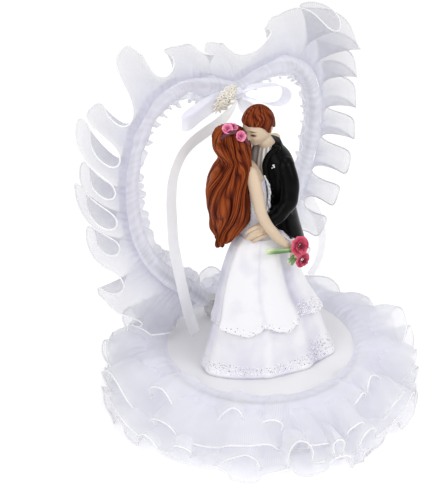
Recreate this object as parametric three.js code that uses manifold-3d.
// Wedding cake topper: an embracing resin couple in front of a wire heart that is dressed in
// gathered organza, on a round moulded base with three gathered organza tiers round it.
// Millimetres, +Z up. The origin is the middle of the topper's box, on the surface that it
// stands on, and its front looks towards -Y.

import * as THREE from "three";
import { mergeVertices } from "three/addons/utils/BufferGeometryUtils.js";
import Module from "manifold-3d";

// Fits, shared by all pieces
const seatGap = 0.3;
const cutOverrun = 1;

// Base: a hollow round moulding with a foot ring, and the smooth deck plate on its roof
const baseRadius = 57;
const baseHeight = 23;
const baseWall = 2;
const baseRoof = 2.2;
const footWidth = 4;
const footHeight = 1.8;
const baseEdge = 1;
const deckRadius = 46.5;
const deckThickness = 2.7;
const deckEdge = 0.5;
const roundSteps = 40;

// Base tiers: each is gathered at its inner edge and falls over the rim
const gatherCount = 20;
const gatherSteps = 4;
const gatherWander = 0.9;
const tierThickness = 1.2;
// Overhangs are from the base's wall to the tier's crown and to its hem
const upperTier = { crownOut: 8.6, overhang: 15.5, hem: 17, crown: 10, wave: 3 };
const middleTier = { crownOut: 14, overhang: 19, hem: 8.5, crown: 5.5, wave: 2.2, seat: 14.5 };
const lowerTier = { crownOut: 16, overhang: 21.5, hem: 1.9, crown: 5, wave: 1, seat: 5 };
const gatherStartShare = 0.08;
const hemRipple = 1.1;
const tierShares = [0, 0.5, 1];

// Heart: a wire loop on a crimped stem that stands in the deck
const heartWidth = 116.8;
const heartHeight = 119.6;
const heartLean = THREE.MathUtils.degToRad(6.7);
const heartTipRise = 6.6;
const heartBehind = 34.6;
const heartAside = 0.5;
const wireRadius = 1.5;
const wireTipGap = 3;
const crimpRadius = 3.5;
const crimpAbove = 4.4;
const crimpBelow = 3.6;
const stemRadius = 2;
const stemReach = 8;
const glueRadius = 6.5;
const glueThickness = 2.4;
const heartSteps = 36;
const wireSides = 6;
// Half of the heart's outline from the dip to the tip: across and up, of width and height
const heartHalfShares = [
  [0, 0.95], [0.144, 0.985], [0.29, 1], [0.42, 0.945], [0.5, 0.82], [0.522, 0.68],
  [0.5, 0.527], [0.42, 0.35], [0.294, 0.216], [0.116, 0.089], [0, 0],
];

// Organza on the heart: a shirred sleeve, a wide outer ruffle and a narrow inner frill
const sleeveRadius = 4.6;
const sleeveBore = 2.2;
const sleeveTipGap = 8;
const sleeveGatherShare = 0.06;
const sleeveSides = 8;
const ruffleWidth = 25;
const ruffleSwing = THREE.MathUtils.degToRad(50);
const ruffleThickness = 1.4;
const ruffleSteps = 8;
const ruffleShares = [0, 0.5, 1];
// The ruffle's folds, from the heart's tip up its left side and down its right side. A row holds
// a fold's place on the heart, its width, its swing to and fro, its lean to the back, how much
// shorter it is in front, how far its hem slips up the heart and how much more at the back
const ruffleFoldShares = [
  [0.035, 1, 0.24, 0, 0.05, 0, 0],
  [0.09, 1, 0.28, 0, 0.1, 0, 0.05],
  [0.15, 1, 0.36, 0.08, 0.1, 0.05, 0.13],
  [0.2, 0.76, 0.84, 0.2, 0.3, 0.1, 0.45],
  [0.236, 0.88, 1, 0.2, 0.35, 0.15, 0.58],
  [0.264, 0.8, 1, 0.24, 0.35, 0.1, 0.5],
  [0.295, 1, 1, 0.28, 0.4, 0.15, 0.58],
  [0.325, 0.88, 1, 0.28, 0.4, 0, 0.32],
  [0.367, 1, 0.92, 0.24, 0.4, 0.15, 0.58],
  [0.415, 0.8, 0.92, 0.24, 0.4, -0.05, 0.32],
  [0.474, 0.68, 0.64, 0.16, 0.2, -0.4, 0],
  [0.588, 1, 0.84, 0.12, 0.3, 0.4, 0],
  [0.62, 1.36, 0.8, 0, 0.15, 0.3, 0],
  [0.648, 1.04, 0.8, -0.08, 0.1, 0.1, 0],
  [0.676, 0.86, 0.8, -0.12, 0.1, 0, 0],
  [0.711, 0.85, 0.8, -0.14, 0.1, 0, 0],
  [0.743, 0.86, 0.8, -0.16, 0.1, 0, 0],
  [0.782, 0.88, 0.8, -0.16, 0.1, 0, 0],
  [0.817, 0.88, 0.66, -0.18, 0.1, 0, 0],
  [0.85, 0.92, 0.5, -0.24, 0.1, 0, 0],
  [0.885, 0.96, 0.46, -0.16, 0.1, 0, 0],
  [0.925, 0.92, 0.4, -0.08, 0.1, 0, 0],
  [0.965, 0.9, 0.4, 0, 0.1, 0, 0],
];
const frillWidth = 3.4;
const frillWave = 1.5;
const frillThickness = 0.9;
const frillCount = 30;
const frillTipGap = 15;

// Satin bow and lace rosette at the heart's dip
const ribbonWidth = 6.3;
const ribbonThickness = 0.5;
const knotWide = 3;
const knotDeep = 2;
const knotTall = 3.1;
const knotAside = -2.4;
const knotDrop = 0.7;
const loopReach = 37;
const rightLoopReach = 31;
const tailLength = 114;
const rightTailDrop = 127;
const rosetteLength = 16.5;
const rosetteWidth = 9.5;
const rosetteDepth = 3.8;
const rosetteSlant = THREE.MathUtils.degToRad(29);
const rosetteAside = -11.8;
const rosetteRise = 2.2;
const pearlRadius = 1.2;

// Couple: heights and widths follow the figure's height, from the deck to the groom's hair
const figureTall = 125;
const figureTurn = THREE.MathUtils.degToRad(-24);
const figureAside = -1.9;
const figureForward = -6.05;
const coupleGlueRadius = 10;
const coupleGlueThickness = 1;
const ringPoints = 12;

// Couple's flowers
const bloomRadius = 4;
const smallBloomRadius = 3.3;
const bloomDepth = 2.4;
const crownBloomRadius = 2.7;
const crownBloomDepth = 1.7;
const stalkRadius = 0.8;
const posyRadius = 1.1;

const deckTop = baseHeight + seatGap + deckThickness;
const heartTip = deckTop + heartTipRise;
const upAxis = new THREE.Vector3(0, 0, 1);
const depthAxis = new THREE.Vector3(0, 1, 0);

const wasm = await Module();
wasm.setup();

// Solids: a closed geometry with merged corners and faces that point out
function closed(geometry) {
  const bare = geometry.clone();
  bare.deleteAttribute("normal");
  bare.deleteAttribute("uv");
  const merged = mergeVertices(bare);
  const place = merged.attributes.position;
  const index = merged.index.array;
  const corner = [0, 1, 2].map(() => new THREE.Vector3());
  let volume = 0;
  for (let i = 0; i < index.length; i += 3) {
    corner.forEach((point, k) => point.fromBufferAttribute(place, index[i + k]));
    volume += corner[0].dot(corner[1].clone().cross(corner[2]));
  }
  if (volume < 0) {
    for (let i = 0; i < index.length; i += 3) {
      [index[i], index[i + 1]] = [index[i + 1], index[i]];
    }
  }
  return merged;
}

function solidOf(geometry) {
  const shut = closed(geometry);
  return new wasm.Manifold(new wasm.Mesh({
    numProp: 3,
    vertProperties: new Float32Array(shut.attributes.position.array),
    triVerts: new Uint32Array(shut.index.array),
  }));
}

function geometryOf(solid) {
  const mesh = solid.getMesh();
  const geometry = new THREE.BufferGeometry();
  geometry.setAttribute("position", new THREE.BufferAttribute(mesh.vertProperties, 3));
  geometry.setIndex(new THREE.BufferAttribute(mesh.triVerts, 1));
  return geometry;
}

// What is left of a piece after its neighbours are cut out of it, without loose crumbs
function carved(piece, neighbours) {
  const rest = neighbours.reduce((body, other) => body.subtract(other), piece);
  const bodies = rest.decompose();
  bodies.sort((one, two) => two.volume() - one.volume());
  return geometryOf(bodies[0]);
}

// A surface through rings of equally many points, shut at both ends or joined end to end.
// The second half of a ring splits its squares the other way, so that a sheet's two walls match.
function skin(rings, joined = false) {
  const count = rings[0].length;
  const faces = [];
  const spans = joined ? rings.length : rings.length - 1;
  for (let r = 0; r < spans; r += 1) {
    const here = r * count;
    const next = ((r + 1) % rings.length) * count;
    for (let c = 0; c < count; c += 1) {
      const d = (c + 1) % count;
      if (c < count / 2) {
        faces.push(here + c, here + d, next + d, here + c, next + d, next + c);
      } else {
        faces.push(here + c, here + d, next + c, here + d, next + d, next + c);
      }
    }
  }
  if (!joined) {
    const last = (rings.length - 1) * count;
    for (let c = 0; c < count / 2 - 1; c += 1) {
      const far = count - 1 - c;
      faces.push(c, far, far - 1, c, far - 1, c + 1);
      faces.push(last + c, last + far - 1, last + far, last + c, last + c + 1, last + far - 1);
    }
  }
  const geometry = new THREE.BufferGeometry();
  geometry.setFromPoints(rings.flat());
  geometry.setIndex(faces);
  return closed(geometry);
}

function cylinder(radius, low, high, x = 0, y = 0) {
  const geometry = new THREE.CylinderGeometry(radius, radius, high - low, 20);
  geometry.rotateX(Math.PI / 2);
  geometry.translate(x, y, (low + high) / 2);
  return geometry;
}

function lathe(profile) {
  const points = profile.map(([radius, height]) => new THREE.Vector2(radius, height));
  const geometry = new THREE.LatheGeometry(points, roundSteps);
  geometry.rotateX(Math.PI / 2);
  return closed(geometry);
}

function paint(colour, roughness, metalness = 0) {
  return new THREE.MeshStandardMaterial({ color: colour, roughness, metalness });
}

const finishes = {
  moulding: paint(0xf1f1ef, 0.45),
  deck: paint(0xeaeaec, 0.4),
  organza: paint(0xe2e2f0, 0.6),
  satin: paint(0xf0f0f8, 0.35),
  lace: paint(0xe9e2d2, 0.6),
  pearl: paint(0xf2ece0, 0.25),
  wire: paint(0xd8d8d8, 0.35, 0.9),
  glue: paint(0xe8e4d8, 0.5),
  dress: paint(0xf1f0f3, 0.4),
  skin: paint(0xe0cba8, 0.45),
  hair: paint(0x963c19, 0.45),
  suit: paint(0x0c0c0e, 0.45),
  shirt: paint(0xe8e6e6, 0.5),
  cravat: paint(0x8d8686, 0.45),
  shoe: paint(0x080808, 0.3),
  pink: paint(0xdc5078, 0.5),
  rose: paint(0xe678a0, 0.5),
  leaf: paint(0x5b2338, 0.6),
  stalk: paint(0x5f9a3c, 0.5),
};

const topper = new THREE.Group();

function piece(name, geometry, finish, parent = topper) {
  const mesh = new THREE.Mesh(closed(geometry), finishes[finish]);
  mesh.name = name;
  parent.add(mesh);
  return mesh;
}

// Base
const stemPlace = { x: heartAside, y: heartBehind };

function baseShell() {
  const under = baseHeight - baseRoof;
  return lathe([
    [0, under], [baseRadius - baseWall, under], [baseRadius - baseWall, footHeight],
    [baseRadius - footWidth, footHeight], [baseRadius - footWidth, 0], [baseRadius, 0],
    [baseRadius, baseHeight - baseEdge], [baseRadius - baseEdge, baseHeight], [0, baseHeight],
  ]);
}

function deckPlate() {
  const low = baseHeight + seatGap;
  return lathe([
    [0, low], [deckRadius, low], [deckRadius, deckTop - deckEdge],
    [deckRadius - deckEdge, deckTop], [0, deckTop],
  ]);
}

function stemHole() {
  const radius = stemRadius + seatGap;
  const { x, y } = stemPlace;
  return solidOf(cylinder(radius, -cutOverrun, deckTop + cutOverrun, x, y));
}

// Cloth tiers: one wall that waves up and down, with its folds growing towards the hem
function gatherPhase(turn) {
  return gatherCount * turn + gatherWander * Math.sin(3 * turn);
}

function tierRings(start, tier) {
  const end = new THREE.Vector2(baseRadius + tier.overhang, tier.hem);
  const crown = new THREE.Vector2(baseRadius + tier.crownOut, start.y + tier.crown);
  const slope = new THREE.QuadraticBezierCurve(start, crown, end);
  const columns = gatherCount * gatherSteps;
  const rings = [];
  for (let c = 0; c < columns; c += 1) {
    const turn = (c / columns) * Math.PI * 2;
    const lift = Math.sin(gatherPhase(turn));
    const side = (half) => tierShares.map((share) => {
      const spot = slope.getPoint(share);
      const growth = gatherStartShare + (1 - gatherStartShare) * share;
      const radius = spot.x + hemRipple * share * Math.sin(gatherPhase(turn) + turn * 2);
      const height = spot.y + tier.wave * growth * lift + half;
      return new THREE.Vector3(radius * Math.cos(turn), radius * Math.sin(turn), height);
    });
    rings.push([...side(tierThickness / 2), ...side(-tierThickness / 2).reverse()]);
  }
  return rings;
}

function upperTierStart() {
  const rise = seatGap + tierThickness / 2 + upperTier.wave * gatherStartShare;
  return new THREE.Vector2(deckRadius + seatGap, baseHeight + rise);
}

function wallTierStart(tier) {
  return new THREE.Vector2(baseRadius + seatGap, tier.seat);
}

const tierTop = upperTierStart().y + upperTier.crown / 2 + upperTier.wave / 2 + tierThickness;

function buildBase() {
  const { x, y } = stemPlace;
  const under = baseHeight - baseRoof - seatGap;
  const pad = solidOf(cylinder(glueRadius, under - glueThickness, under, x, y));
  piece("base_shell", carved(solidOf(baseShell()), [stemHole()]), "moulding");
  piece("base_deck", carved(solidOf(deckPlate()), [stemHole()]), "deck");
  piece("heart_stem_glue", carved(pad, [stemHole()]), "glue");
  const upper = tierRings(upperTierStart(), upperTier);
  const middle = tierRings(wallTierStart(middleTier), middleTier);
  const lower = tierRings(wallTierStart(lowerTier), lowerTier);
  piece("base_ruffle_upper", skin(upper, true), "organza");
  piece("base_ruffle_middle", skin(middle, true), "organza");
  piece("base_ruffle_lower", skin(lower, true), "organza");
}

// Heart: drawn in its own plane, from the tip up the left side and down the right side
const heart = new THREE.Group();
heart.position.set(heartAside, heartBehind, heartTip);
topper.add(heart);

function heartPoint([across, up], side) {
  const x = side * across * heartWidth;
  const z = up * heartHeight;
  const cos = Math.cos(heartLean);
  const sin = Math.sin(heartLean);
  return new THREE.Vector3(x * cos + z * sin, 0, z * cos - x * sin);
}

const heartCurve = new THREE.CatmullRomCurve3([
  ...heartHalfShares.slice(1).reverse().map((share) => heartPoint(share, -1)),
  ...heartHalfShares.map((share) => heartPoint(share, 1)),
]);
const heartLength = heartCurve.getLength();
const heartDip = heartPoint(heartHalfShares[0], 1);

function heartFrame(share) {
  const spot = heartCurve.getPointAt(share);
  const along = heartCurve.getTangentAt(share);
  const out = new THREE.Vector3(-along.z, 0, along.x).normalize();
  return { spot, out };
}

function heartShares(gap, steps) {
  const start = gap / heartLength;
  const shares = [];
  for (let i = 0; i <= steps; i += 1) {
    shares.push(start + (i / steps) * (1 - 2 * start));
  }
  return shares;
}

function hoop(share, radius, sides) {
  const { spot, out } = heartFrame(share);
  const points = [];
  for (let k = 0; k < sides; k += 1) {
    const turn = (k / sides) * Math.PI * 2;
    points.push(spot.clone().addScaledVector(out, radius * Math.cos(turn))
      .addScaledVector(depthAxis, radius * Math.sin(turn)));
  }
  return points;
}

function wireLoop() {
  const rings = heartShares(wireTipGap, heartSteps)
    .map((share) => hoop(share, wireRadius, wireSides));
  const crimp = solidOf(cylinder(crimpRadius, -crimpBelow, crimpAbove));
  const foot = baseHeight - baseRoof - stemReach - heartTip;
  const stem = solidOf(cylinder(stemRadius, foot, 0));
  return geometryOf(solidOf(skin(rings)).add(crimp).add(stem));
}

function sleeve() {
  const shares = heartShares(sleeveTipGap, heartSteps);
  const outer = shares.map((share, i) => {
    const gather = 1 + sleeveGatherShare * (i % 2 === 0 ? 0 : -1);
    return hoop(share, sleeveRadius * gather, sleeveSides);
  });
  const inner = shares.map((share) => hoop(share, sleeveBore, sleeveSides)).reverse();
  return skin([...outer, ...inner], true);
}

// The outer ruffle's cloth is cut off above the base's tiers
function ruffleReach(spot, out, width) {
  if (out.z >= 0) {
    return width;
  }
  const room = heartTip + spot.z - tierTop;
  return Math.min(width, room / -out.z - sleeveRadius - seatGap);
}

function ruffleFold(place) {
  const row = Math.min(Math.floor(place), ruffleFoldShares.length - 2);
  const next = ruffleFoldShares[row + 1];
  return ruffleFoldShares[row].map((value, k) => value + (next[k] - value) * (place - row));
}

// The ruffle's cloth swings to and fro about its seam
function outerRuffle() {
  const steps = (ruffleFoldShares.length - 1) * ruffleSteps;
  const rings = [];
  for (let i = 0; i <= steps; i += 1) {
    const [share, width, swing, lean, pinch, slip, slant] = ruffleFold(i / ruffleSteps);
    const { spot, out } = heartFrame(share);
    const up = depthAxis.clone().cross(out);
    const wave = Math.cos((i / ruffleSteps) * Math.PI * 2);
    const open = ruffleSwing * (lean + swing * wave);
    const reach = ruffleReach(spot, out, ruffleWidth * width) * (1 - pinch * (1 - wave) / 2);
    const side = (half) => ruffleShares.map((part) => {
      const turn = open * Math.sqrt(part);
      const away = reach * part * Math.cos(turn) - half * Math.sin(turn);
      const deep = reach * part * Math.sin(turn) + half * Math.cos(turn);
      return spot.clone().addScaledVector(out, sleeveRadius + seatGap + away)
        .addScaledVector(depthAxis, deep)
        .addScaledVector(up, reach * part * slip + deep * slant);
    });
    rings.push([...side(ruffleThickness / 2), ...side(-ruffleThickness / 2).reverse()]);
  }
  return skin(rings);
}

function innerFrill() {
  const rings = heartShares(frillTipGap, frillCount * 2).map((share, i) => {
    const { spot, out } = heartFrame(share);
    const swing = frillWave * (i % 2 === 0 ? 1 : -1);
    const side = (half) => [0, 1].map((part) => spot.clone()
      .addScaledVector(out, -(sleeveRadius + seatGap + frillWidth * part))
      .addScaledVector(depthAxis, swing * part + half));
    return [...side(frillThickness / 2), ...side(-frillThickness / 2).reverse()];
  });
  return skin(rings);
}

function buildHeart() {
  piece("heart_frame", wireLoop(), "wire", heart);
  piece("heart_sleeve", sleeve(), "organza", heart);
  piece("heart_ruffle_outer", outerRuffle(), "organza", heart);
  piece("heart_frill_inner", innerFrill(), "organza", heart);
}

// Bow: its own group at the knot, in front of the sleeve at the heart's dip
const bow = new THREE.Group();
const knotFront = -(sleeveRadius + seatGap + knotDeep);
bow.position.set(heartDip.x + knotAside, knotFront, heartDip.z - knotDrop);
heart.add(bow);

function pebble(wide, deep, tall, grow = 0) {
  const geometry = new THREE.SphereGeometry(1, 10, 6);
  geometry.scale(wide + grow, deep + grow, tall + grow);
  return geometry;
}

// Ribbon: a flat strip along a curve, bunched where it enters the knot
const bunchShare = 0.34;
const bunchSpanShare = 0.12;

function ribbon(points, steps, acrossOf, bothEnds) {
  const curve = new THREE.CatmullRomCurve3(points);
  const rings = [];
  for (let i = 0; i <= steps; i += 1) {
    const share = i / steps;
    const nearKnot = bothEnds ? Math.min(share, 1 - share) : share;
    const opening = THREE.MathUtils.smoothstep(nearKnot, 0, bunchSpanShare);
    const half = (ribbonWidth / 2) * (bunchShare + (1 - bunchShare) * opening);
    const spot = curve.getPoint(share);
    const along = curve.getTangent(share);
    const across = acrossOf(along).normalize();
    const face = along.clone().cross(across).normalize();
    rings.push([[1, 1], [1, -1], [-1, -1], [-1, 1]].map(([side, skew]) => spot.clone()
      .addScaledVector(across, side * half)
      .addScaledVector(face, skew * (ribbonThickness / 2))));
  }
  return solidOf(skin(rings));
}

const acrossUp = () => upAxis.clone();
const acrossDeep = () => depthAxis.clone();
const acrossTurned = (along) => along.clone().cross(depthAxis);

// Places along each ribbon: across and up as shares of its reach, depth in knot depths
const leftLoopShares = [
  [0, 0.1, 0.01], [-0.28, 0.1, 0.05], [-0.65, 0.1, 0.02], [-0.94, -0.1, -0.05],
  [-1, -0.75, -0.08], [-0.94, -1.5, -0.09], [-0.65, -1.1, -0.03], [-0.28, -0.6, 0.02],
  [0, -0.42, 0.0],
];
const rightLoopShares = [
  [0, -0.9, 0.03], [0.28, -0.9, 0.05], [0.62, -0.9, -0.02], [0.9, -0.9, -0.12],
  [1, -0.9, -0.26], [0.94, -0.9, -0.38], [0.76, -0.9, -0.38], [0.48, -0.9, -0.27],
  [0.22, -0.9, -0.11], [0, -0.9, -0.05],
];
const leftTailShares = [
  [0, -0.3, -0.015], [-0.06, -0.9, -0.054], [-0.14, -1.4, -0.078], [-0.22, -1.8, -0.09],
  [-0.295, -2.0, -0.11], [-0.35, -2.1, -0.145], [-0.395, -2.1, -0.22], [-0.408, -2.0, -0.32],
  [-0.405, -2.0, -0.42], [-0.4, -2.1, -0.53], [-0.38, -2.3, -0.65], [-0.355, -2.5, -0.78],
  [-0.325, -2.8, -0.91], [-0.3, -3.0, -0.99],
];
// The right tail's shares are all of its drop
const rightTailShares = [
  [0, 0.3, -0.015], [0.03, 0.7, -0.055], [0.09, 1.6, -0.1], [0.17, 3.4, -0.21],
  [0.25, 6.4, -0.31], [0.32, 9.2, -0.395], [0.4, 11, -0.48], [0.485, 10.8, -0.59],
  [0.55, 8.2, -0.68], [0.59, 6.2, -0.8], [0.59, 5.3, -0.885], [0.555, 4.7, -0.96],
  [0.5, 4.3, -1],
];

function ribbonPoints(shares, reach) {
  return shares.map(([across, deep, up]) => new THREE.Vector3(
    across * reach, deep * knotDeep, up * reach));
}

// Rosette: an oval of lace petals, low and wide, in layers of half width and rise
const rosetteLayerShares = [[0.62, 0], [1, 0.35], [0.86, 0.7], [0.45, 1]];
const rosetteNotchShare = 0.86;

function rosette() {
  const petals = 8;
  const points = petals * 2;
  const rings = rosetteLayerShares.map(([share, rise]) => {
    const ring = [];
    for (let k = 0; k < points; k += 1) {
      const turn = (k / points) * Math.PI * 2;
      const lobe = k % 2 === 0 ? 1 : rosetteNotchShare;
      ring.push(new THREE.Vector3(
        (rosetteLength / 2) * share * lobe * Math.cos(turn), -rosetteDepth * rise,
        (rosetteWidth / 2) * share * lobe * Math.sin(turn)));
    }
    return ring;
  });
  const geometry = skin(rings);
  geometry.rotateY(-rosetteSlant);
  return geometry;
}

function buildBow() {
  const grown = solidOf(pebble(knotWide, knotDeep, knotTall, seatGap));
  const leftLoop = ribbon(ribbonPoints(leftLoopShares, loopReach), 22, acrossUp, true);
  const rightLoop = ribbon(
    ribbonPoints(rightLoopShares, rightLoopReach), 24, acrossDeep, true);
  const leftTail = ribbon(ribbonPoints(leftTailShares, tailLength), 30, acrossTurned, false);
  const rightTail = ribbon(
    ribbonPoints(rightTailShares, rightTailDrop), 34, acrossTurned, false);
  piece("bow_knot", pebble(knotWide, knotDeep, knotTall), "satin", bow);
  piece("bow_loop_left", carved(leftLoop, [grown]), "satin", bow);
  piece("bow_loop_right", carved(rightLoop, [grown]), "satin", bow);
  piece("bow_tail_left", carved(leftTail, [grown]), "satin", bow);
  piece("bow_tail_right", carved(rightTail, [grown]), "satin", bow);
  const rose = piece("rosette", rosette(), "lace", bow);
  const roseBack = leftLoopShares[6][1] * knotDeep - ribbonThickness / 2 - seatGap;
  rose.position.set(rosetteAside, roseBack, rosetteRise);
  const bead = piece("rosette_pearl", pebble(pearlRadius, pearlRadius, pearlRadius), "pearl", bow);
  bead.position.set(rosetteAside, roseBack - rosetteDepth - seatGap - pearlRadius, rosetteRise);
}

// Couple: +X runs from the bride to the groom and +Y away from the viewer
const couple = new THREE.Group();
couple.position.set(figureAside, figureForward, deckTop);
couple.rotation.z = figureTurn;
topper.add(couple);

// Level rings through stations of centre and half sizes, all shares of the figure's height.
// A sixth share slopes the ring along X, and the back half may be shallower than the front.
function bodyRings(stationShares, steps, grow = 0, backShare = 1, fold = null) {
  const centre = new THREE.CatmullRomCurve3(stationShares.map(([x, y, z]) => (
    new THREE.Vector3(x, y, z).multiplyScalar(figureTall))));
  const half = new THREE.CatmullRomCurve3(stationShares.map((station) => (
    new THREE.Vector3(station[3], station[4], station[5] ?? 0).multiplyScalar(figureTall))));
  const rings = [];
  for (let i = 0; i <= steps; i += 1) {
    const share = i / steps;
    const spot = centre.getPoint(share);
    const size = half.getPoint(share);
    const slope = size.z / figureTall;
    const end = i === 0 ? -grow : (i === steps ? grow : 0);
    const ring = [];
    for (let k = 0; k < ringPoints; k += 1) {
      const turn = (k / ringPoints) * Math.PI * 2;
      const swell = fold ? fold(turn, share) : { out: 1, drop: 0 };
      const deep = (size.y + grow) * (Math.sin(turn) > 0 ? backShare : 1);
      const x = (size.x + grow) * Math.cos(turn) * swell.out;
      const y = deep * Math.sin(turn) * swell.out;
      ring.push(new THREE.Vector3(
        spot.x + x, spot.y + y, spot.z + slope * x + end + swell.drop * figureTall));
    }
    rings.push(ring);
  }
  return rings;
}

function body(stationShares, steps, grow = 0, backShare = 1, fold = null) {
  return solidOf(skin(bodyRings(stationShares, steps, grow, backShare, fold)));
}

// Round limb through points and half widths, all shares of the figure's height
function limb(stationShares, steps, grow = 0, sides = 8) {
  const path = new THREE.CatmullRomCurve3(stationShares.map(([x, y, z]) => (
    new THREE.Vector3(x, y, z).multiplyScalar(figureTall))));
  const half = new THREE.CatmullRomCurve3(stationShares.map((station) => (
    new THREE.Vector3(station[3], 0, 0).multiplyScalar(figureTall))));
  const rings = [];
  for (let i = 0; i <= steps; i += 1) {
    const share = i / steps;
    const along = path.getTangent(share);
    const side = along.clone().cross(depthAxis).normalize();
    const other = along.clone().cross(side).normalize();
    const end = i === 0 ? -grow : (i === steps ? grow : 0);
    const spot = path.getPoint(share).addScaledVector(along, end);
    const radius = half.getPoint(share).x + grow;
    const ring = [];
    for (let k = 0; k < sides; k += 1) {
      const turn = (k / sides) * Math.PI * 2;
      ring.push(spot.clone().addScaledVector(side, radius * Math.cos(turn))
        .addScaledVector(other, radius * Math.sin(turn)));
    }
    rings.push(ring);
  }
  return solidOf(skin(rings));
}

// Head: looks along +X in its own frame. Half sizes are shares of the head's height.
const brideHeadTallShare = 0.1376;
const groomHeadTallShare = 0.144;
const brideHeadTall = brideHeadTallShare * figureTall;
const groomHeadTall = groomHeadTallShare * figureTall;
const headHalfShares = { front: 0.4, back: 0.43, side: 0.34, jaw: 0.36 };
const noseShares = { out: 0.1, level: -0.1, tall: 0.1, wide: 0.2 };
const chinShares = { out: 0.05, level: -0.4, tall: 0.1, wide: 0.5 };

function bump(turn, level, { out, level: at, tall, wide }) {
  return out * Math.exp(-((turn / wide) ** 2) - (((level - at) / tall) ** 2));
}

function headSolid(tall, tilt, turn, place, grow = 0) {
  const rows = 10;
  const rings = [];
  for (let i = 0; i <= rows; i += 1) {
    const rise = THREE.MathUtils.degToRad(THREE.MathUtils.lerp(-82, 82, i / rows));
    const level = 0.5 * Math.sin(rise);
    const around = Math.cos(rise);
    const narrow = level < 0 ? 1 - headHalfShares.jaw * (2 * level) ** 2 : 1;
    const ring = [];
    for (let k = 0; k < ringPoints; k += 1) {
      const angle = (k / ringPoints) * Math.PI * 2;
      const face = angle > Math.PI ? angle - Math.PI * 2 : angle;
      const depth = Math.cos(angle) > 0 ? headHalfShares.front : headHalfShares.back * narrow;
      const out = bump(face, level, noseShares) + bump(face, level, chinShares);
      const x = (depth * around * Math.cos(angle) + out) * tall + grow * Math.cos(angle);
      const y = headHalfShares.side * narrow * around * Math.sin(angle) * tall;
      ring.push(new THREE.Vector3(x, y + grow * Math.sin(angle),
        level * tall + grow * Math.sin(rise)));
    }
    rings.push(ring);
  }
  const geometry = skin(rings);
  geometry.rotateY(tilt);
  geometry.rotateZ(turn);
  geometry.translate(...place.map((share) => share * figureTall));
  return solidOf(geometry);
}

function blob(place, sizes, tilt, turn, centre, grow = 0) {
  const geometry = new THREE.SphereGeometry(1, 10, 6);
  geometry.scale(...sizes.map((size) => size + grow));
  geometry.translate(...place);
  geometry.rotateY(tilt);
  geometry.rotateZ(turn);
  geometry.translate(...centre.map((share) => share * figureTall));
  return solidOf(geometry);
}

// Bride
const brideHeadShares = [-0.150, 0.014, 0.900];
const brideHeadTilt = THREE.MathUtils.degToRad(-15);
const brideChestShares = [
  [-0.080, 0, 0.764, 0.048, 0.072], [-0.086, 0.002, 0.788, 0.042, 0.078],
  [-0.094, 0.004, 0.812, 0.034, 0.060], [-0.108, 0.008, 0.834, 0.023, 0.028],
  [-0.122, 0.011, 0.858, 0.021, 0.023], [-0.134, 0.012, 0.882, 0.021, 0.023],
];
const brideBodiceShares = [
  [-0.040, -0.012, 0.533, 0.078, 0.074], [-0.052, -0.012, 0.562, 0.057, 0.065],
  [-0.060, -0.008, 0.608, 0.050, 0.062], [-0.070, -0.004, 0.672, 0.053, 0.068],
  [-0.076, 0, 0.720, 0.056, 0.073], [-0.080, 0, 0.7612, 0.050, 0.073],
];
const brideRightArmShares = [
  [-0.090, -0.062, 0.790, 0.022], [-0.087, -0.088, 0.744, 0.021],
  [-0.077, -0.104, 0.672, 0.020], [-0.056, -0.115, 0.620, 0.020],
  [-0.016, -0.121, 0.560, 0.020], [0.016, -0.121, 0.524, 0.017],
  [0.046, -0.117, 0.498, 0.019],
];
const brideLeftArmShares = [
  [-0.090, 0.066, 0.790, 0.022], [-0.048, 0.118, 0.782, 0.021],
  [0, 0.160, 0.792, 0.019], [0.044, 0.166, 0.810, 0.017], [0.076, 0.136, 0.826, 0.018],
];
const brideHairShares = [
  [-0.188, -0.020, 0.506, 0.010, 0.016], [-0.176, -0.012, 0.524, 0.028, 0.042],
  [-0.162, -0.008, 0.560, 0.050, 0.060], [-0.150, -0.008, 0.624, 0.073, 0.074],
  [-0.156, -0.008, 0.680, 0.077, 0.078], [-0.164, -0.008, 0.752, 0.071, 0.079],
  [-0.148, -0.006, 0.812, 0.067, 0.072], [-0.138, -0.002, 0.846, 0.055, 0.065],
  [-0.140, 0.004, 0.882, 0.058, 0.066], [-0.146, 0.006, 0.918, 0.062, 0.065],
  [-0.150, 0.006, 0.952, 0.051, 0.052], [-0.153, 0.004, 0.974, 0.018, 0.020],
];
const faceWindowShares = [-0.062, 0.016, 0.880];
const faceWindowHalfShares = [0.062, 0.050, 0.062];
const underskirtShares = [
  [-0.012, -0.032, 0.0024, 0.272, 0.168], [-0.012, -0.032, 0.036, 0.266, 0.162],
  [-0.014, -0.028, 0.100, 0.236, 0.148], [-0.018, -0.024, 0.190, 0.206, 0.132],
  [-0.026, -0.020, 0.290, 0.168, 0.114],
];
const overskirtShares = [
  [-0.018, -0.020, 0.176, 0.224, 0.146], [-0.022, -0.020, 0.224, 0.208, 0.138],
  [-0.034, -0.018, 0.290, 0.184, 0.122], [-0.042, -0.016, 0.370, 0.158, 0.106],
  [-0.042, -0.014, 0.450, 0.132, 0.092], [-0.040, -0.012, 0.504, 0.110, 0.082],
  [-0.040, -0.012, 0.5306, 0.084, 0.076],
];
const skirtBackShare = 0.72;
const skirtFolds = 7;
const hemFoldShare = 0.045;
const hemDropShare = 0.016;

function skirtFold(turn, share) {
  const wave = Math.cos(skirtFolds * turn);
  return { out: 1 + hemFoldShare * (1 - share) * wave, drop: 0 };
}

function overskirtFold(turn, share) {
  const wave = Math.cos(skirtFolds * turn);
  const low = (1 - share) ** 3;
  return { out: 1 + hemFoldShare * (1 - share) * wave, drop: -hemDropShare * low * wave };
}

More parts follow.
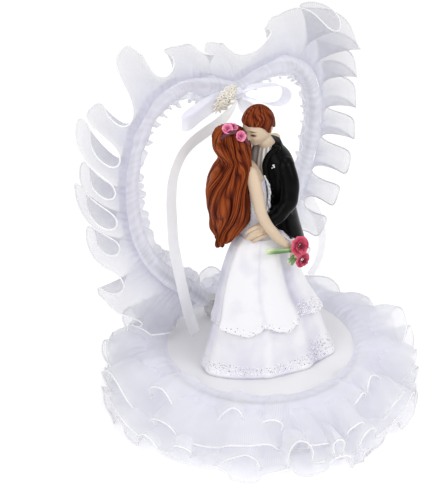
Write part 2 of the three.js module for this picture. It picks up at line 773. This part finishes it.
// Groom
const groomHeadShares = [-0.043, -0.008, 0.955];
const groomHeadTilt = THREE.MathUtils.degToRad(18);
const groomNeckShares = [
  [-0.028, -0.002, 0.900, 0.028], [-0.006, 0.012, 0.868, 0.028], [0.010, 0.020, 0.836, 0.029],
];
const jacketShares = [
  [0.076, 0.052, 0.504, 0.088, 0.100, -0.75], [0.060, 0.044, 0.576, 0.068, 0.092, -0.4],
  [0.044, 0.040, 0.640, 0.064, 0.092, 0], [0.034, 0.036, 0.720, 0.066, 0.100, 0],
  [0.029, 0.032, 0.784, 0.068, 0.104, 0], [0.024, 0.028, 0.824, 0.058, 0.090, 0],
  [0.016, 0.024, 0.856, 0.040, 0.058, 0], [0.012, 0.024, 0.878, 0.034, 0.044, 0],
];
const shirtShares = [
  [-0.006, 0.020, 0.640, 0.036, 0.044], [-0.010, 0.020, 0.720, 0.040, 0.048],
  [-0.014, 0.018, 0.790, 0.040, 0.046], [-0.014, 0.014, 0.850, 0.034, 0.036],
  [-0.012, 0.012, 0.876, 0.030, 0.032],
];
const cravatShares = [
  [-0.050, 0.012, 0.880, 0.008], [-0.058, 0.012, 0.846, 0.014], [-0.060, 0.014, 0.800, 0.012],
  [-0.056, 0.016, 0.750, 0.007],
];
const leftSleeveShares = [
  [0.038, -0.046, 0.806, 0.035], [0.046, -0.070, 0.748, 0.035],
  [0.040, -0.084, 0.684, 0.033], [0.004, -0.087, 0.636, 0.029],
  [-0.034, -0.084, 0.610, 0.026],
];
const rightSleeveShares = [
  [0.036, 0.104, 0.806, 0.035], [0.026, 0.124, 0.744, 0.034],
  [-0.016, 0.132, 0.696, 0.031], [-0.072, 0.116, 0.660, 0.028],
  [-0.110, 0.088, 0.636, 0.026],
];
const leftHandShares = [
  [-0.030, -0.084, 0.612, 0.016], [-0.066, -0.086, 0.592, 0.020],
  [-0.092, -0.084, 0.572, 0.018], [-0.112, -0.078, 0.554, 0.010],
];
const rightHandShares = [
  [-0.106, 0.092, 0.638, 0.016], [-0.132, 0.066, 0.618, 0.019],
  [-0.148, 0.040, 0.602, 0.016], [-0.156, 0.018, 0.590, 0.010],
];
const leftLegShares = [
  [0.058, 0.046, 0.044, 0.034, 0.034], [0.058, 0.046, 0.280, 0.038, 0.037],
  [0.062, 0.044, 0.480, 0.046, 0.043],
];
const rightLegShares = [
  [0.076, 0.118, 0.044, 0.034, 0.034], [0.074, 0.114, 0.280, 0.039, 0.038],
  [0.070, 0.098, 0.480, 0.047, 0.045],
];
const hipShares = [
  [0.068, 0.070, 0.436, 0.050, 0.070], [0.070, 0.066, 0.500, 0.056, 0.080],
  [0.066, 0.056, 0.560, 0.050, 0.074],
];
const leftShoeShares = [
  [0.046, 0.046, 0.0024, 0.062, 0.032], [0.048, 0.046, 0.020, 0.060, 0.031],
  [0.056, 0.046, 0.0416, 0.040, 0.026],
];
const rightShoeShares = [
  [0.064, 0.120, 0.0024, 0.062, 0.032], [0.066, 0.120, 0.020, 0.060, 0.031],
  [0.074, 0.119, 0.0416, 0.040, 0.026],
];

// Flowers: a dished star of petals in layers of radius and rise, turned to face a direction
const petalShare = 0.13;
const bloomLayerShares = [[0.5, 0], [0.95, 0.4], [1, 0.75], [0.3, 1]];

function bloom(radius, depth, place, facing) {
  const petals = 5;
  const points = petals * 2;
  const rings = bloomLayerShares.map(([share, rise]) => {
    const ring = [];
    for (let k = 0; k < points; k += 1) {
      const turn = (k / points) * Math.PI * 2;
      const lobe = 1 + petalShare * Math.cos(petals * turn) * share;
      ring.push(new THREE.Vector3(
        radius * share * lobe * Math.cos(turn), radius * share * lobe * Math.sin(turn),
        depth * rise));
    }
    return ring;
  });
  const geometry = skin(rings);
  const aim = new THREE.Vector3(...facing).normalize();
  geometry.applyQuaternion(new THREE.Quaternion().setFromUnitVectors(upAxis, aim));
  geometry.translate(...place.map((share) => share * figureTall));
  return solidOf(geometry);
}

const wreathShares = [
  [-0.196, -0.030, 0.944, 0.010], [-0.180, -0.042, 0.962, 0.011],
  [-0.154, -0.046, 0.966, 0.011], [-0.126, -0.050, 0.946, 0.011],
  [-0.106, -0.052, 0.916, 0.009],
];
const crownBloomShares = [
  { place: [-0.172, -0.048, 0.976], facing: [-0.3, -1, 0.9] },
  { place: [-0.128, -0.062, 0.950], facing: [0.2, -1, 0.4] },
  { place: [-0.134, 0.018, 0.975], facing: [0.3, 0.2, 1] },
];
const stalkShares = [
  [0.062, -0.134, 0.510, 1], [0.036, -0.141, 0.509, 1], [-0.010, -0.144, 0.514, 1],
  [-0.064, -0.146, 0.522, 1],
];
const shortStalkShares = [
  [0.060, -0.134, 0.496, 1], [0.042, -0.140, 0.482, 1], [0.018, -0.144, 0.464, 1],
];
const bouquetBloomShares = [
  { place: [0.060, -0.142, 0.522], facing: [0.15, -1, 0.25] },
  { place: [0.070, -0.146, 0.466], facing: [0.25, -1, -0.05] },
];
const bouquetLeafShares = [
  [0.058, -0.122, 0.480, 0.006], [0.046, -0.130, 0.464, 0.013], [0.038, -0.134, 0.444, 0.005],
];
const posyShares = [-0.004, -0.060, 0.800];
const coupleGlueShares = [-0.112, -0.048];

function stalk(shares, grow = 0) {
  const radius = stalkRadius / figureTall;
  return limb(shares.map(([x, y, z, thick]) => [x, y, z, thick * radius]), 6, grow, 6);
}

function stalks(grow = 0) {
  const grip = bouquetLeafShares[0];
  const knot = blob([0, 0, 0], [2 * stalkRadius, 2 * stalkRadius, 2 * stalkRadius], 0, 0,
    [stalkShares[0][0], stalkShares[0][1], (stalkShares[0][2] + shortStalkShares[0][2]) / 2],
    grow);
  return stalk(stalkShares, grow).add(stalk(shortStalkShares, grow)).add(knot);
}

// Places and half sizes on the groom's head, as shares of its height
const earShares = { level: -0.06, half: [0.09, 0.05, 0.13] };
const capShares = { place: [-0.02, 0, 0.04], half: [0.47, 0.4, 0.53] };
const faceCutShares = { place: [0.52, 0, -0.32], half: [0.62, 0.7, 0.42] };
const napeCutShares = { place: [-0.1, 0, -0.78], half: [0.9, 0.7, 0.5] };

function onGroomHead({ place, half }, grow = 0) {
  const [at, size] = [place, half].map((shares) => shares.map((share) => share * groomHeadTall));
  return blob(at, size, groomHeadTilt, Math.PI, groomHeadShares, grow);
}

// Each painted part of the couple, as a solid that can be grown by the gap to its neighbours
const brideBody = (grow) => body(brideChestShares, 8, grow)
  .add(headSolid(brideHeadTall, brideHeadTilt, 0, brideHeadShares, grow));
const groomSkin = (grow) => {
  const { level, half } = earShares;
  const ears = [headHalfShares.side, -headHalfShares.side].map((side) => (
    onGroomHead({ place: [0, side, level], half }, grow)));
  return headSolid(groomHeadTall, groomHeadTilt, Math.PI, groomHeadShares, grow)
    .add(limb(groomNeckShares, 4, grow))
    .add(ears[0])
    .add(ears[1]);
};
const rightArm = (grow) => limb(brideRightArmShares, 11, grow);
const leftArm = (grow) => limb(brideLeftArmShares, 8, grow);
const bodice = (grow) => body(brideBodiceShares, 7, grow);
const brideHair = (grow) => body(brideHairShares, 13, grow);
const underskirt = (grow) => body(underskirtShares, 6, grow, skirtBackShare, skirtFold);
const overskirt = (grow) => body(overskirtShares, 8, grow, skirtBackShare, overskirtFold);
const jacket = (grow) => body(jacketShares, 8, grow);
const shirt = (grow) => body(shirtShares, 6, grow);
const cravat = (grow) => limb(cravatShares, 6, grow, 6);
const leftSleeve = (grow) => limb(leftSleeveShares, 8, grow);
const rightSleeve = (grow) => limb(rightSleeveShares, 8, grow);
const leftHand = (grow) => limb(leftHandShares, 6, grow);
const rightHand = (grow) => limb(rightHandShares, 6, grow);
const trousers = (grow) => body(leftLegShares, 4, grow).add(body(rightLegShares, 4, grow))
  .add(body(hipShares, 3, grow));
const leftShoe = (grow) => body(leftShoeShares, 3, grow);
const rightShoe = (grow) => body(rightShoeShares, 3, grow);
const wreath = (grow) => limb(wreathShares, 8, grow, 6);
const leafSpray = (grow) => limb(bouquetLeafShares, 5, grow, 6);

function coupleGlue() {
  const [x, y] = coupleGlueShares.map((share) => share * figureTall);
  return cylinder(coupleGlueRadius, seatGap, seatGap + coupleGlueThickness, x, y);
}

function glueRecess() {
  const [x, y] = coupleGlueShares.map((share) => share * figureTall);
  const high = 2 * seatGap + coupleGlueThickness;
  return solidOf(cylinder(coupleGlueRadius + seatGap, -cutOverrun, high, x, y));
}

// Neighbours named first are kept whole; the later ones are cut back by the gap
function buildCouple() {
  const gap = seatGap;
  const add = (name, solid, cuts, finish) => piece(name, carved(solid, cuts), finish, couple);
  const faceWindow = blob([0, 0, 0], faceWindowHalfShares.map((share) => share * figureTall), 0, 0,
    faceWindowShares);
  const hands = [leftHand(gap), rightHand(gap)];
  const arms = [rightArm(gap), leftArm(gap)];
  const sleeves = [leftSleeve(gap), rightSleeve(gap)];
  const shoes = [leftShoe(gap), rightShoe(gap)];
  const flowers = crownBloomShares.map(({ place, facing }) => (
    bloom(crownBloomRadius + gap, crownBloomDepth + gap, place, facing)));
  const bouquet = bouquetBloomShares.map(({ place, facing }, i) => (
    bloom((i === 0 ? bloomRadius : smallBloomRadius) + gap, bloomDepth + gap, place, facing)));
  add("bride_head", brideBody(0), [rightArm(gap), leftArm(gap), groomSkin(gap)], "skin");
  add("bride_arm_right", rightArm(0), [stalks(gap), ...bouquet], "skin");
  add("bride_arm_left", leftArm(0), [rightSleeve(gap)], "skin");
  add("bride_bodice", bodice(0), [...arms, ...hands, ...sleeves, shirt(gap), cravat(gap),
    trousers(gap)], "dress");
  add("bride_hair", brideHair(0), [brideBody(gap), bodice(gap), groomSkin(gap), faceWindow,
    ...arms, ...hands, ...sleeves, wreath(gap), ...flowers], "hair");
  add("bride_crown_leaves", wreath(0), [brideBody(gap), ...flowers], "leaf");
  crownBloomShares.forEach(({ place, facing }, i) => {
    const flower = bloom(crownBloomRadius, crownBloomDepth, place, facing);
    const others = [groomSkin(gap), ...flowers.slice(0, i)];
    add(`bride_crown_flower_${i + 1}`, flower, others, "rose");
  });
  add("bride_underskirt", underskirt(0), [trousers(gap), ...shoes, glueRecess()], "dress");
  add("bride_overskirt", overskirt(0), [underskirt(gap), trousers(gap), bodice(gap), ...arms,
    ...hands, jacket(gap), ...sleeves, stalks(gap), ...bouquet, leafSpray(gap)], "dress");
  add("groom_head", groomSkin(0), [], "skin");
  add("groom_hair", onGroomHead(capShares), [onGroomHead(faceCutShares),
    onGroomHead(napeCutShares), groomSkin(gap), brideBody(gap), brideHair(gap), ...flowers],
    "hair");
  add("groom_hand_left", leftHand(0), [rightArm(gap), leftSleeve(gap)], "skin");
  add("groom_hand_right", rightHand(0), [rightSleeve(gap)], "skin");
  add("groom_sleeve_left", leftSleeve(0), [rightArm(gap)], "suit");
  add("groom_sleeve_right", rightSleeve(0), [bodice(gap)], "suit");
  add("groom_cravat", cravat(0), [groomSkin(gap), brideBody(gap)], "cravat");
  add("groom_shirt", shirt(0), [groomSkin(gap), cravat(gap), brideBody(gap)], "shirt");
  add("groom_jacket", jacket(0), [groomSkin(gap), shirt(gap), cravat(gap), ...sleeves, ...arms,
    brideBody(gap), bodice(gap), brideHair(gap), trousers(gap)], "suit");
  add("groom_trousers", trousers(0), shoes, "suit");
  add("groom_shoe_left", leftShoe(0), [], "shoe");
  add("groom_shoe_right", rightShoe(0), [], "shoe");
  const posy = blob([0, 0, 0], [posyRadius, posyRadius, posyRadius], 0, 0, posyShares);
  add("groom_buttonhole", posy, [jacket(gap), leftSleeve(gap), shirt(gap)], "shirt");
  add("bouquet_stalks", stalks(0), bouquet, "stalk");
  add("bouquet_leaf", leafSpray(0), [stalks(gap), ...bouquet, rightArm(gap)], "stalk");
  bouquetBloomShares.forEach(({ place, facing }, i) => {
    const flower = bloom(i === 0 ? bloomRadius : smallBloomRadius, bloomDepth, place, facing);
    add(`bouquet_flower_${i + 1}`, flower, i === 0 ? [] : [bouquet[0]], "pink");
  });
  piece("couple_glue", coupleGlue(), "glue", couple);
}

buildBase();
buildHeart();
buildBow();
buildCouple();

// The heart leans, so the middle of the whole lies beside the middle of the base
topper.updateMatrixWorld(true);
const middle = new THREE.Box3().setFromObject(topper).getCenter(new THREE.Vector3());
topper.position.set(-middle.x, -middle.y, 0);

export default topper;
